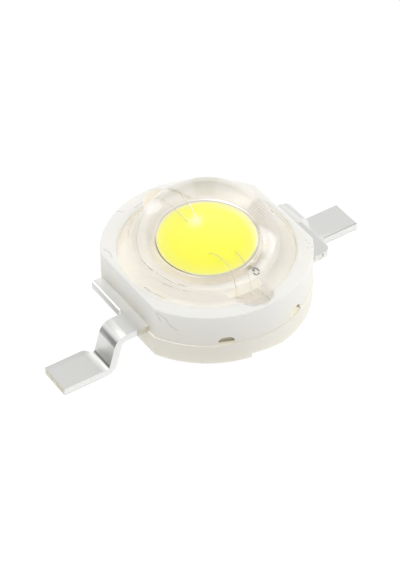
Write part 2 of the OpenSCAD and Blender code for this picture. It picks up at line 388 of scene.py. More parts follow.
wellLook = {
    "radius": 3.36, "lensRadius": 3.31, "height": (1.5, 2.69),
    "outerSpan": (1.9, 2.5), "frontSpan": (-0.5, 1.5), "rearSpan": (0.9, 1.5),
    "ribStart": (1.78, 1.84), "ribEnd": 0.42, "ribInside": 1.44, "ribOutside": 2.0, "ribFade": (-0.3, -0.2),
    "ribDensity": 150.0, "ribWave": (-0.2, 0.9), "ring": (1.69, 0.06, 0.05),
    # bands of the angle and of the radius
    "paintedRipple": ((-0.24, 0.3, 0.06), (1.64, 0.17, 0.05)), "greyRear": ((0.99, 0.1, 0.05), (1.8, 0.12, 0.06)),
    "greyFront": ((-0.72, 0.34, 0.08), (2.18, 0.08, 0.1)), "beside": ((0.53, 0.1, 0.03), (1.82, 0.28, 0.1)),
    "frontArc": ((-1.42, 0.25, 0.15), (1.88, 0.12, 0.06)),
    # the first arc is drawn among the dark marks, the second is painted light
    "footArc": ((2.275, 0.525, 0.15), (1.87, 0.01, 0.02)),
    "paintedBrightArc": ((2.275, 0.525, 0.15), (1.81, 0.02, 0.03)),
    "footShade": ((-0.55, 0.45, 0.2), (1.47, 0.03, 0.05)), "greyOuter": (-0.5, 0.35, 0.15),
    # bands of x and y
    "pocketShade": ((0.72, 0.07, 0.05), (-3.05, 0.3, 0.2)),
    "leafHighlight": (-0.19, 1.77), "leafTurn": (0.99, 0.12), "leafScale": (4.2, 7.6), "leafPower": 1.6,
    "leafSpan": (0.95, 1.1), "pocketTop": 2.3, "pocketInside": 1.8, "pocketSpan": (1.6, 2.3),
    "sideSpan": (0.4, 0.63),
    # how much each area adds to the well's painted glow or takes from it
    "levels": {"paintedBrightArc": 0.4, "beside": 0.4, "frontArc": 0.3, "pocketShade": -0.5, "fields": -0.28,
               "rear": -0.25, "side": -0.25, "footShade": -0.4},
}

outsideLook = {
    "windowRadius": (3.0, 3.93), "windowHeight": (1.31, 1.72), "windowReach": 2.4, "litFrom": 0.8,
    "sillTop": 1.345, "deepBand": (3.72, 0.03, 0.09), "deepInside": 3.7,
    "ledgeRadius": 3.5, "ledge": (1.333, 0.008, 0.01), "ledgeEdge": (1.31, 0.015, 0.008),
    "flat": -3.53, "overWing": 1.58, "overWingSpan": (1.6, 2.2), "overWingReach": (-1.8, -1.3),
    "rearPocketFrom": 2.5, "rearPocketHalf": 0.69, "rearPocketRadius": (3.3, 3.84),
    "rearPocketHeight": (1.5, 2.68), "rimEdge": 3.47, "rimLow": 2.63,
}

# half width, fade and strength of each kind of mark, and where it runs; the white lines along the scratches
# are painted glints, and the dark line round the front pocket's edge is painted shade
plasticMarks = {
    "scratches": (0.008, 0.03, 0.85, [
        [(-1.73, 0.84, 2.35), (-1.77, 0.33, 2.35), (-1.76, -0.12, 2.35), (-1.59, -0.64, 2.35),
         (-1.36, -1.10, 2.35)],
        [(-2.05, 0.09, 2.35), (-1.98, -0.43, 2.35), (-1.79, -0.86, 2.35), (-1.51, -1.29, 2.35)],
        [(-3.08, -0.20, 2.35), (-2.98, -0.72, 2.35), (-2.73, -1.34, 2.35)]]),
    "scratchGlints": (0.008, 0.02, 1.0, [
        [(-1.68, 0.80, 2.35), (-1.71, 0.30, 2.35), (-1.70, -0.12, 2.35), (-1.53, -0.62, 2.35)],
        [(-1.98, 0.05, 2.35), (-1.91, -0.42, 2.35), (-1.72, -0.84, 2.35), (-1.45, -1.25, 2.35)]]),
    "faint": (0.012, 0.035, 0.4, [
        [(-2.02, 2.20, 2.35), (-1.85, 2.52, 2.35), (-1.42, 2.90, 2.35)],
        [(-1.08, 3.30, 2.7), (-0.46, 3.45, 2.7), (0.18, 3.60, 2.7)],
        [(0.31, 1.93, 2.35), (0.52, 1.70, 2.35), (0.60, 1.52, 2.35)]]),
    "hook": (0.022, 0.022, 0.9, [
        [(0.65, -1.37, 2.35), (0.72, -1.31, 2.35), (0.78, -1.40, 2.35), (0.80, -1.55, 2.35)],
        [(0.67, -1.36, 2.35), (0.66, -1.44, 2.35)],
        [(0.62, -1.55, 2.35), (0.62, -1.64, 2.35), (0.68, -1.70, 2.35)],
        [(0.74, -1.62, 2.35), (0.74, -1.69, 2.35)]]),
    "pocketEdgeShade": (0.012, 0.03, 1.0, [
        [(-0.66, -3.41, 2.7), (-0.47, -3.67, 2.7), (0.0, -3.85, 2.7), (0.47, -3.67, 2.7),
         (0.68, -3.38, 2.7)]]),
    "bodyScratches": (0.014, 0.03, 0.24, [
        [(-3.49, -1.89, 2.58), (-3.44, -1.99, 2.40), (-3.39, -2.06, 2.23)],
        [(-3.44, -1.98, 2.59), (-3.37, -2.10, 2.50), (-3.28, -2.23, 2.42), (-3.22, -2.32, 2.22),
         (-3.14, -2.43, 2.09), (-3.02, -2.57, 2.00)]]),
    "smears": (0.008, 0.03, 0.35, [
        [(-1.91, 3.58, 2.7), (-1.41, 3.73, 2.7)], [(-1.81, 3.58, 2.7), (-1.56, 3.35, 2.7)],
        [(-3.30, 1.95, 2.7), (-3.20, 1.62, 2.7), (-3.26, 1.42, 2.7)]]),
    "specks": (0.01, 0.03, 0.5, [
        (-2.38, -3.22, 0.56), (3.23, -1.81, 2.7), (3.23, -2.01, 2.7), (3.19, -2.25, 2.7),
        (3.03, -2.21, 2.7), (3.06, -2.50, 2.7), (1.82, 3.58, 2.7)]),
}


def leafHighlightArea(s, p, x, y):
    # a painted highlight: a bright oval fleck with blunt ends
    look = wellLook
    x, y = x - look["leafHighlight"][0], y - look["leafHighlight"][1]
    cosine, sine = look["leafTurn"]
    along = ((x * cosine - y * sine) * look["leafScale"][0]).math("ABSOLUTE")
    across = ((x * sine + y * cosine) * look["leafScale"][1]).math("ABSOLUTE")
    oval = along.math("POWER", look["leafPower"]) + across.math("POWER", look["leafPower"])
    return s.fall(oval, *look["leafSpan"]) * s.ramp(s.noise(p, 9.0, 2.0), 0.6, 1.0, 0.35, 0.5)


def ribbedArea(s, radius, angle):
    look = wellLook
    area = s.rise(angle + radius * 1.18, *look["ribStart"]) * s.rise(angle, *look["ribFade"])
    area = area * (angle < look["ribEnd"]) * (radius > look["ribInside"])
    return area * (radius + angle.math("MINIMUM", 0.0) * 0.75 < look["ribOutside"])


def wellAreas(s, p):
    # masks of the well under the lens, with its ribbed, rippled and grey fields; the rippled one is a painted
    # reflection, and the masks set where the well's painted glow is brighter or darker
    look = wellLook
    x, y, z = s.axes(p)
    radius, angle = s.length(x, y), y.math("ARCTAN2", x)
    well = (radius < look["radius"]) * s.within(z, look["height"])
    outer = s.rise(radius, *look["outerSpan"])
    ribbed = ribbedArea(s, radius, angle)
    ribs = (angle * look["ribDensity"] + s.noise(p, 3.0) * 4.0).math("SINE")
    pocket = well * (z < look["pocketTop"]) * (radius > look["pocketInside"])
    area = {name: s.patch(angle, radius, look[name]) for name in
            ("beside", "frontArc", "footArc", "paintedBrightArc", "footShade")}
    for name in ("footArc", "paintedBrightArc"):
        area[name] = area[name] * well
    grey = s.largest([s.patch(angle, radius, look["greyRear"]),
                      s.patch(angle, radius, look["greyFront"]) * 0.8,
                      s.band(angle, *look["greyOuter"]) * outer * 0.4])
    area.update({
        "well": well, "under": well * (radius < look["lensRadius"]), "outer": outer,
        "front": s.rise(x * 0.55 - y * 0.83, *look["frontSpan"]),
        "rear": s.rise(y * 0.95 - x * 0.1, *look["rearSpan"]) * (1.0 - outer),
        "fields": ribbed * (s.rise(ribs, *look["ribWave"]) * 0.8 + 0.05),
        "paintedRipple": s.noise(p, 8.0, 2.0),
        "paintedRippledReflection": s.patch(angle, radius, look["paintedRipple"]) * well * (1.0 - ribbed),
        "grey": grey * well, "leafHighlight": leafHighlightArea(s, p, x, y) * well,
        "pocketShade": s.patch(x, y, look["pocketShade"]), "pocket": pocket,
        "side": pocket * s.rise(x, *look["sideSpan"]) * (y < 0.0),
    })
    area["ring"] = s.band(radius - area["front"] * 0.04, *look["ring"]) * (1.0 - ribbed)
    return area


def outsideAreas(s, p):
    # masks of the windows, the parting line's ledge, the rear pocket's end, the left flat and the rim, for
    # painted light and shade: shade in the windows' upper parts and depths, light on their sills, the ledge,
    # the pocket's end, the flat above the wing and the rim
    look = outsideLook
    x, y, z = s.axes(p)
    radius, away = s.length(x, y), x.math("ABSOLUTE")
    window = s.within(radius, look["windowRadius"]) * s.within(z, look["windowHeight"])
    window = window * (away < look["windowReach"])
    lit = window * (x > look["litFrom"])
    dim = s.band(radius, *look["deepBand"]).math("MAXIMUM", (radius < look["deepInside"]) * 0.6)
    along = s.ramp(x, 1.0, 0.25, -2.4, -0.4) + s.ramp(x, 0.0, 0.3, 0.5, 1.5) * s.fall(x, 2.0, 2.6)
    ledge = (s.band(z, *look["ledge"]) * along).math(
        "MAXIMUM", s.band(z, *look["ledgeEdge"]) * s.ramp(x, 0.0, 0.7, 0.7, 1.8))
    rearPocket = s.within(radius, look["rearPocketRadius"]) * s.within(z, look["rearPocketHeight"])
    overWing = (x < look["flat"]) * (z > look["overWing"]) * s.fall(z, *look["overWingSpan"])
    return {
        "window": window, "lit": lit, "shade": lit * (z > look["sillTop"]), "deep": (window - lit) * dim,
        "ledge": ledge * (radius > look["ledgeRadius"]),
        "rearPocket": rearPocket * (y > look["rearPocketFrom"]) * (away < look["rearPocketHalf"]),
        "overWing": overWing * s.ramp(y, 0.4, 1.0, *look["overWingReach"]),
        "rim": (x > look["rimEdge"]) * (z > look["rimLow"]),
    }


def markAreas(s, p, footArc):
    # dark and white marks, some of them a little wavy or broken; the dark ones include painted shade along
    # the front pocket's edge, and the white ones are painted glints
    def mark(name, place):
        half, fade, strength, paths = plasticMarks[name]
        return s.strokes(place, paths, half, fade) * strength

    shift = s.node("TexNoise", sockets={"Vector": p, "Scale": 2.5}, output=1)
    wavy = s.vector("ADD", p, s.vector("SCALE", shift, scale=0.12))
    wavy = s.vector("SUBTRACT", wavy, (0.06, 0.06, 0.06))
    broken = s.ramp(s.noise(p, 5.0, 2.0), 0.5, 1.0, 0.4, 0.55)
    half, fade, strength, places = plasticMarks["specks"]
    dark = s.largest([
        mark("scratches", wavy) * broken, mark("faint", p) * broken, mark("hook", p),
        mark("pocketEdgeShade", p) * s.ramp(s.axes(p)[0], 0.45, 0.15, -0.4, 0.1), footArc * 0.35,
        mark("bodyScratches", p), mark("smears", wavy), s.spots(p, places, half, fade) * strength])
    return dark, mark("scratchGlints", wavy) * broken


def makePlastic():
    s = Shader("mouldedWhite")
    look = plasticLook
    p = s.place()
    x, y, z = s.axes(p)
    grain = s.noise(p, 14.0, 4.0, 0.6)
    area = {**wellAreas(s, p), **outsideAreas(s, p)}
    dark, white = markAreas(s, p, area["footArc"])
    # the rim's tone at the right and the windows' dark insides are painted shade
    color = s.layers(look["white"], [
        (s.fall(z, *look["lowSpan"]) * 0.8, look["low"]), (s.noise(p, 0.9, 3.0) * 0.25, look["cloud"]),
        ((z > wellLook["height"][1]) * s.rise(x, *look["rimSpan"]) * 0.6, look["rim"]),
        (area["well"] * 0.8, look["well"]), (area["fields"] * area["well"], look["ribs"]),
        (area["paintedRippledReflection"] * area["paintedRipple"], look["paintedRipple"]), (area["grey"] * 0.7, look["grey"]),
        (dark, look["marksAndShade"]), ((area["deep"] + area["shade"]) * 0.9, look["paintedWindowShade"])])
    # painted light: the well's glow, raised or lowered area by area
    clean = area["under"] * (1.0 - dark) * (1.0 - area["grey"] * 0.2)
    level = area["ring"] * (area["front"] * 0.25 + 0.3) + area["paintedRippledReflection"] * (1.0 - area["paintedRipple"]) + 1.0
    level = level - area["pocket"] * s.fall(z, *wellLook["pocketSpan"]) * 0.3
    for name, share in wellLook["levels"].items():
        level = level + area[name] * share
    area.update({
        "gap": area["well"] - area["under"], "well": clean * level, "outer": clean * area["outer"],
        "front": clean * area["front"], "white": white, "pocket": area["pocket"] - area["side"] * 0.4,
        "window": area["window"] - area["deep"], "sill": area["lit"] - area["shade"]})
    # painted light on each area, summed into the emission
    paintedLight = s.paintedGlow([(light, area[name]) for name, light in plasticPaintedLight.items()])
    return s.finish(s.principled(color=color, roughness=s.ramp(grain, 0.38, 0.52), subsurface=0.5,
                                 subsurfaceRadius=(1.0, 0.9, 0.7), subsurfaceScale=0.0006,
                                 emission=paintedLight, emissionStrength=1.0, normal=s.bump(grain, 0.15, 0.00002)))


# tones of the strip's parts, which are painted light and shade, its colours, and where they begin and end
stripLook = {
    "anodeWing": 0.88, "cathodeWing": 0.83, "neck": 0.86, "anodeBend": 1.05, "cathodeBend": 0.92,
    "anodeFoot": 0.81, "cathodeFoot": 0.87,
    "metal": (0.84, 0.84, 0.82, 1), "dullMetal": (0.76, 0.76, 0.74, 1),
    "pad": (0.96, 0.96, 0.88, 1), "padEnd": (0.96, 0.9, 0.86, 1), "padCorner": (0.86, 0.86, 0.78, 1),
    "wingSide": 0.33, "wingTop": 1.57, "bendSpan": (4.4, 4.5), "footSpan": (5.42, 5.56),
    "endBand": (4.0, 0.015, 0.01), "footEdgeShade": (0.075, 0.015, 0.015), "padRadius": 3.34,
    "slope": (4.95, 0.42, 0.02), "slopeFoot": 0.31, "upper": (1.29, 0.05, 0.08), "middle": (0.35, 0.95),
    "lower": (0.375, 0.02, 0.03), "bendBand": (1.475, 0.035, 0.035), "heelBand": (5.32, 0.05, 0.06),
    "heelHeight": (0.28, 0.33), "edgeBand": (3.955, 0.025, 0.02), "rootSpan": (1.4, 1.55),
}

# painted light on the strip: its pads, the cathode's root, the anode's bends and wing top, the wing's outer
# edge and the narrow sides
stripPaintedLight = {
    "pad": (0.11, 0.105, 0.1), "bend": (0.2, 0.2, 0.2), "wing": (0.22, 0.215, 0.21),
    "root": (0.15, 0.15, 0.145), "edge": (0.35, 0.35, 0.35), "side": (0.09, 0.09, 0.09),
}


def stripPaintedLighting(s, p, anode, wing):
    # painted light and shade: how bright the strip is along its length
    look = stripLook
    x, y, z = s.axes(p)
    away = x.math("ABSOLUTE")
    brushed = s.noise(s.vector("MULTIPLY", p, (6.0, 1.2, 6.0)), 1.6, 3.0)
    wingTone = s.choose(anode, look["anodeWing"], look["cathodeWing"])
    tone = s.choose(wing, wingTone, look["neck"])
    # the anode wing's end darkens towards the front
    end = anode * wing * s.band(away, *look["endBand"]) * (z < look["wingTop"])
    tone = tone * (1.0 - end * s.ramp(y, 0.32, 0.05, 0.1, 1.4))
    # painted light at the bends, which are brighter, and a painted level for each foot
    tone = s.ramp(away, tone, s.choose(anode, look["anodeBend"], look["cathodeBend"]), *look["bendSpan"])
    tone = s.ramp(away, tone, s.choose(anode, look["anodeFoot"], look["cathodeFoot"]), *look["footSpan"])
    # painted shade along the cathode foot's top edge
    tone = tone * (1.0 - (x > 5.5) * s.band(y, *look["footEdgeShade"]) * (z > 0.28) * 0.3)
    # the anode's slope mirrors something dark above and below, and something pale between
    slope = anode * s.band(away, *look["slope"]) * (z > look["slopeFoot"])
    upper = s.band(z, *look["upper"]) * s.ramp(brushed, 0.8, 1.0, 0.4, 0.6)
    middle = s.fall(z, *look["middle"]) * s.ramp(brushed, 0.5, 1.0, 0.42, 0.58)
    mirrored = s.largest([upper * 0.57, s.band(z, *look["lower"]) * 0.55, middle * 0.2])
    return tone * (1.0 - slope * 0.1) * (1.0 - slope * mirrored)


def makeStrip():
    s = Shader("silveredStrip")
    look = stripLook
    p = s.place()
    x, y, z = s.axes(p)
    away, anode = x.math("ABSOLUTE"), x < 0.0
    wing = (y * (1.0 - anode * 2.0)) < look["wingSide"]
    grain = s.noise(p, 9.0, 5.0, 0.65)
    metal = s.vector("SCALE", s.mix(grain * 0.5, look["metal"], look["dullMetal"]),
                     scale=stripPaintedLighting(s, p, anode, wing))
    inner = s.length(x, y) < look["padRadius"]
    pad = s.layers(look["pad"], [(s.band(x, 0.0, 0.15, 0.2), look["padEnd"]),
                                 (s.rise(x, 0.3, 0.5) * (y < 0.0), look["padCorner"])])
    top = anode * (z > look["wingTop"]) * (away > 3.5)
    heelHighlight = s.band(away, *look["heelBand"]) * s.within(z, look["heelHeight"])
    root = (x > 4.2) * (y > 0.2) * s.rise(z, *look["rootSpan"]) * s.ramp(x, 0.5, 1.0, 4.3, 4.55)
    # painted light: brighter pads, a sheen at the cathode's root, highlights on the anode's bends, and light
    # on its wing top and outer edge
    paintedLight = s.paintedGlow([
        (stripPaintedLight["pad"], inner * s.ramp(y, 1.0, 1.8, -2.4, -1.9)), (stripPaintedLight["root"], root),
        (stripPaintedLight["bend"], anode * (s.band(z, *look["bendBand"]) * (away > 4.5) + heelHighlight * 0.5)),
        (stripPaintedLight["wing"], top * s.ramp(away, 1.0, wing * 0.2, 3.58, 3.95)),
        (stripPaintedLight["edge"], top * wing * s.band(away, *look["edgeBand"]))])
    return s.finish(s.principled(color=s.mix(inner * 0.8, metal, pad), metallic=1.0 - inner * 0.6,
                                 roughness=s.ramp(grain, 0.28, 0.42), emission=paintedLight, emissionStrength=1.0,
                                 normal=s.bump(grain, 0.1, 0.00002)))


sideLook = {"light": (0.98, 0.98, 0.96, 1), "dull": (0.92, 0.92, 0.89, 1), "under": (0.4, 0.4, 0.38, 1),
            "underSpan": (0.02, 0.07), "footFrom": 5.5}


def makeStripSide():
    s = Shader("stripSidePaintedSheen")
    look = sideLook
    p = s.place()
    x, y, z = s.axes(p)
    grain = s.noise(p, 12.0, 3.0)
    # painted reflection: the narrow sides are pale and glow, less at the right; a painted shadow darkens the
    # feet's sides along the bottom
    under = s.fall(z, *look["underSpan"]) * 0.3 * (x.math("ABSOLUTE") > look["footFrom"])
    color = s.layers(look["light"], [(grain, look["dull"]), (under, look["under"])])
    paintedLight = s.paintedGlow([(stripPaintedLight["side"], (1.0 - under) * s.ramp(x, 1.0, 0.3, 0.0, 1.0))])
    return s.finish(s.principled(color=color, metallic=0.15, roughness=s.ramp(grain, 0.25, 0.4),
                                 emission=paintedLight, emissionStrength=1.0))


copperLook = {
    "cut": (0.78, 0.74, 0.6, 1), "paleCut": (0.88, 0.85, 0.76, 1), "blotch": (0.52, 0.47, 0.32, 1),
    "wingEnd": (1.0, 1.0, 0.95, 1), "speck": (0.3, 0.3, 0.28, 1), "wingReach": (3.5, 4.6),
}


def makeCutCopper():
    s = Shader("cutCopper")
    look = copperLook
    p = s.place()
    # the cathode wing's end is brighter, with dark specks
    wingEnd = s.within(s.axes(p)[0], look["wingReach"])
    color = s.layers(look["cut"], [
        (s.noise(p, 18.0, 4.0, 0.7), look["paleCut"]),
        (s.rise(s.noise(p, 5.0, 2.0), 0.4, 0.6) * 0.5, look["blotch"]), (wingEnd * 0.85, look["wingEnd"]),
        (s.rise(s.noise(p, 7.0, 3.0), 0.58, 0.63) * wingEnd * 0.7, look["speck"])])
    return s.finish(s.principled(color=color, metallic=0.15, roughness=0.45))


slugLook = {"silver": (0.9, 0.84, 0.74, 1), "paleSilver": (0.94, 0.9, 0.84, 1), "lip": (0.72, 0.69, 0.54, 1),
            "paintedGlow": (0.075, 0.07, 0.045), "cupFrom": 2.3}


def makeSlugSilver():
    s = Shader("turnedSilver")
    look = slugLook
    p = s.place()
    x, y, z = s.axes(p)
    turning = s.node("TexNoise", sockets={"Vector": s.node("CombineXYZ", sockets={2: z}), "Scale": 30.0})
    cup = z > look["cupFrom"]
    # painted shade: the lip is darker at the front right
    lip = cup * s.rise(x, 0.95, 1.25) * s.fall(y, -0.2, 0.15) * 0.9
    color = s.layers(look["silver"], [(s.noise(p, 2.0), look["paleSilver"]), (lip, look["lip"])])
    # painted light on the cup, strongest at the left and gone at the right
    paintedLight = s.paintedGlow([(look["paintedGlow"], cup * s.ramp(x, 1.8, 0.2, -1.3, -0.8) * s.fall(x, 0.2, 1.1))])
    return s.finish(s.principled(color=color, metallic=1.0, roughness=s.ramp(turning, 0.2, 0.4),
                                 emission=paintedLight, emissionStrength=1.0))


phosphorLook = {
    "yellow": (0.98, 0.95, 0.045, 1), "grain": (0.98, 0.97, 0.09, 1), "paleSheenAndEdge": (0.98, 0.96, 0.3, 1),
    "edge": (0.98, 0.96, 0.7, 1), "flaw": (0.7, 0.66, 0.15, 1), "seam": (0.95, 0.92, 0.84, 1),
    "lipGapShade": (0.3, 0.24, 0.11, 1), "paintedGlow": (0.3, 0.29, 0.015), "seamPaintedGlow": (0.15, 0.14, 0.12),
    "paleSpan": (0.9, 1.32), "edgeSpan": (1.26, 1.33), "rightSpan": (1.12, 1.3), "seamSpan": (1.325, 1.34),
    "lipGapShadeBand": (1.355, 0.015, 0.015),
    "flaws": [(0.64, -0.82, 2.72), (0.68, -0.94, 2.71), (0.48, -1.01, 2.71), (0.67, -1.09, 2.69),
              (0.49, -1.18, 2.68), (0.36, -1.04, 2.71), (0.5, -0.68, 2.74)],
}


def makePhosphor():
    s = Shader("yellowFilling")
    look = phosphorLook
    p = s.place()
    x, y, z = s.axes(p)
    radius = s.length(x, y)
    grain = s.noise(p, 6.0, 4.0)
    # paler towards the far right, a painted sheen, and towards the edge
    paleSheenAndEdge = s.ramp(x * 0.6 + y * 0.8, 0.0, 0.5, -0.2, 1.3)
    paleSheenAndEdge = paleSheenAndEdge.math("MAXIMUM", s.rise(radius, *look["paleSpan"]) * 0.8)
    right = s.rise((x * 0.97 + y * 0.24) / radius, 0.75, 0.95) * s.rise(radius, *look["rightSpan"]) * 0.8
    edge = (s.rise(radius, *look["edgeSpan"]) * 0.75).math("MAXIMUM", right)
    # a creamy seam along the cup's lip, with painted shade in the gap at the lip: a brown line, strongest at
    # the left
    seam = s.rise(radius, *look["seamSpan"])
    left = s.rise((y * 0.05 - x) / radius, 0.65, 0.92)
    front = s.fall(y / radius, -0.6, 0.0)
    lipGapShade = s.band(radius, *look["lipGapShadeBand"]) * (left * 0.8).math("MAXIMUM", front * 0.15 + 0.08)
    color = s.layers(look["yellow"], [
        (grain, look["grain"]), (paleSheenAndEdge, look["paleSheenAndEdge"]), (edge, look["edge"]),
        (s.spots(p, look["flaws"], 0.008, 0.03) * 0.4, look["flaw"]), (seam, look["seam"]),
        (lipGapShade, look["lipGapShade"])])
    # painted light: the yellow glows, and the seam less where it is not shaded
    paintedLight = s.paintedGlow([(look["paintedGlow"], 1.0 - seam), (look["seamPaintedGlow"], seam * (1.0 - lipGapShade))])
    return s.finish(s.principled(color=color, roughness=0.35, emission=paintedLight, emissionStrength=1.0,
                                 normal=s.bump(grain, 0.1, 0.00002)))


def makeClear():
    s = Shader("clearLens")
    p = s.place()
    haze = s.noise(p, 3.0)
    return s.finish(s.principled(color=(1, 1, 1, 1), roughness=s.ramp(haze, 0.0, 0.02), transmission=1.0,
                                 ior=1.5))


def makeGold():
    s = Shader("goldWire")
    p = s.place()
    color = s.mix(s.noise(p, 10.0), (0.78, 0.73, 0.6, 1), (0.88, 0.84, 0.74, 1))
    return s.finish(s.principled(color=color, metallic=1.0, roughness=0.3))


def makeDie():
    s = Shader("chipCrystal")
    p = s.place()
    color = s.mix(s.noise(p, 5.0), (0.35, 0.45, 0.6, 1), (0.5, 0.58, 0.66, 1))
    return s.finish(s.principled(color=color, roughness=0.15))


def makeAttach():
    s = Shader("silverGlue")
    p = s.place()
    color = s.mix(s.noise(p, 12.0), (0.6, 0.6, 0.58, 1), (0.8, 0.8, 0.78, 1))
    return s.finish(s.principled(color=color, metallic=0.5, roughness=0.5))


plastic = makePlastic()
strip = makeStrip()
stripSide = makeStripSide()
cutCopper = makeCutCopper()
slugSilver = makeSlugSilver()
phosphorYellow = makePhosphor()
clear = makeClear()
gold = makeGold()
print("materials made")


# Housing

housingSize = {
    "radius": 4.0, "flat": 3.55, "bottom": 0.45, "parting": 1.33, "step": 0.03, "top": 2.7, "edge": 0.05,
    "wellRadius": 3.35, "floor": 2.35, "pocketHalf": 0.65, "pocketIn": 1.9, "pocketOut": 3.8, "padTop": 1.585,
    "windowAngles": (-23.5, 21.5), "windowWidth": 0.65, "windowHeight": 0.38, "windowDepth": 0.8,
    "notchHalf": 0.65, "notchHigh": 0.2, "notchLow": 0.05, "notchDepth": 0.5,
    "slugBase": 2.9, "slugBaseTop": 0.9, "slugNeck": 1.4,
    "corner": 0.06, "bottomEdge": 0.04, "fineEdge": 0.015, "windowRound": 0.8, "near": 0.001, "past": 1,
}


def slotShape(name, half, inner, outer, bottom, top):
    # a long hole with a round outer end, towards the front
    body = addBox(name, (-half, -outer + half, bottom), (half, -inner, top))
    join(body, addCylinder(name + "End", half, bottom, top, y=-outer + half, sides=96))
    return body


def isFlatCorner(edge):
    # an upright edge where the round wall meets a flat
    h = housingSize
    tall = abs(edge.verts[0].co.z - edge.verts[1].co.z) > 0.3
    atFlat = both(edge, lambda c: abs(c.x) > h["flat"] - 2 * h["step"])
    return tall and atFlat and edge.calc_face_angle(0) > 0.3


def makeShell():
    # the round body with two flats, a little narrower above the parting line
    h = housingSize
    body = addCylinder("housing_body", h["radius"], h["bottom"], h["parting"], sides=256)
    for side in (1, -1):
        editAll(body)
        bpy.ops.mesh.bisect(plane_co=(side * h["flat"], 0, 0), plane_no=(side, 0, 0), use_fill=True,
                            clear_outer=True)
        leaveEdit()
    editSelect(body, "FACE", lambda f: f.normal.z > 0.9)
    bpy.ops.mesh.inset(thickness=h["step"])
    bpy.ops.mesh.extrude_region_move(TRANSFORM_OT_translate={"value": (0, 0, h["top"] - h["parting"])})
    leaveEdit()
    bevelEdges(body, isFlatCorner, h["corner"], 3)
    bevelEdges(body, lambda e: both(e, lambda c: c.z > h["top"] - h["near"]), h["edge"], 4)
    bevelEdges(body, lambda e: both(e, lambda c: c.z < h["bottom"] + h["near"]), h["bottomEdge"], 3)
    editAll(body)
    bpy.ops.mesh.remove_doubles(threshold=3 * h["near"])
    bpy.ops.mesh.normals_make_consistent(inside=False)
    leaveEdit()
    return body


def wellCutter():
    h = housingSize
    edge, top = h["edge"], h["top"] + h["past"]
    return lathe("wellCutter", [(0, h["floor"]), (h["wellRadius"], h["floor"])]
                 + arc(h["wellRadius"] + edge, h["top"] - edge, edge, 180, 90, 6)
                 + [(h["wellRadius"] + edge, top), (0, top)], 256)


def notchCutter():
    # in the bottom edge, lower on one side
    h = housingSize
    notch = addBox("notchCutter", (-h["notchHalf"], -h["radius"] - h["past"], h["bottom"] - h["past"]),
                   (h["notchHalf"], -h["radius"] + h["notchDepth"], h["bottom"] + h["notchHigh"]))
    editSelect(notch, "VERT", lambda v: v.co.x > 0 and v.co.z > h["bottom"])
    bpy.ops.transform.translate(value=(0, 0, h["notchLow"] - h["notchHigh"]))
    leaveEdit()
    return notch


def windowCutter():
    # a window with round upper corners
    h = housingSize
    half, high = h["windowWidth"] / 2, h["parting"] + h["windowHeight"]
    window = addBox("windowCutter", (-half, -h["radius"] - h["past"], h["parting"]),
                    (half, -h["radius"] + h["windowDepth"], high))

    def atUpperCorner(c):
        return c.z > high - h["near"] and abs(abs(c.x) - half) < h["near"]

    bevelEdges(window, lambda e: both(e, atUpperCorner), half * h["windowRound"], 10)
    return window


def makeHousing():
    h = housingSize
    body = makeShell()
    carve(body, wellCutter())
    for side in (0, 180):
        pocket = slotShape("pocketCutter", h["pocketHalf"], h["pocketIn"], h["pocketOut"], h["padTop"],
                           h["top"] + h["past"])
        carve(body, turned(pocket, side))
        carve(body, turned(notchCutter(), side))
        for angle in h["windowAngles"]:
            carve(body, turned(windowCutter(), side + angle))
    carve(body, addCylinder("slugCutter", h["slugBase"], 0, h["slugBaseTop"]))
    carve(body, addCylinder("neckCutter", h["slugNeck"], 0, h["top"] + h["past"]))
    soften(body, h["fineEdge"], 2)
    return body


def straightenWall(piece):
    # the cuts tilt the round wall's normals a little, so here they point straight outwards again
    least = (housingSize["radius"] - 0.1) / 1000
    mesh = piece.data
    normals = [corner.vector.copy() for corner in mesh.corner_normals]
    for polygon in mesh.polygons:
        outwards = Vector((polygon.center.x, polygon.center.y, 0))
        if outwards.length > least and polygon.normal.dot(outwards.normalized()) > 0.99:
            for i in polygon.loop_indices:
                spot = mesh.vertices[mesh.loops[i].vertex_index].co
                normals[i] = Vector((spot.x, spot.y, 0)).normalized()
    mesh.normals_split_custom_set(normals)


housing = makeHousing()
finishPiece(housing, [plastic], ["housing"])
straightenWall(housing)
print("housing done")


# Slug with its cup

slugSize = {"base": 2.9, "baseTop": 0.9, "neck": 1.45, "lip": 2.6, "cup": 1.37, "cupFloor": 1.0,
            "cupBottom": 2.2, "baseEdge": 0.05, "lipEdge": 0.02}


def makeSlug():
    g = slugSize
    low, edge = g["baseEdge"], g["lipEdge"]
    return lathe("slug_body", [(0, 0)] + arc(g["base"] - low, low, low, -90, 0, 4)
                 + [(g["base"], g["baseTop"]), (g["neck"], g["baseTop"]), (g["neck"], g["lip"] - edge)]
                 + arc(g["neck"] - edge, g["lip"] - edge, edge, 0, 90, 4)[1:]
                 + arc(g["cup"] + edge, g["lip"] - edge, edge, 90, 180, 4)
                 + [(g["cupFloor"], g["cupBottom"]), (0, g["cupBottom"])], 256)


slug = makeSlug()
finishPiece(slug, [slugSilver], ["heat_slug"])


# Yellow filling

fillingSize = {"rise": 0.2, "above": 0.01}


def makeFilling():
    # as wide as the slug's cup, with a low dome
    f, g = fillingSize, slugSize
    cap = (g["cup"] ** 2 + f["rise"] ** 2) / (2 * f["rise"])
    spread = math.degrees(math.asin(g["cup"] / cap))
    bottom = g["cupBottom"] + f["above"]
    return lathe("phosphor_cap", arc(0, g["lip"] + f["rise"] - cap, cap, 90, 90 - spread, 24)
                 + [(g["cupFloor"], bottom), (0, bottom)], 192)


filling = makeFilling()
finishPiece(filling, [phosphorYellow], ["phosphor_fill"], evenFlats=False)
print("slug and filling done")


# Clear dome with its flange, and the clear filling under it

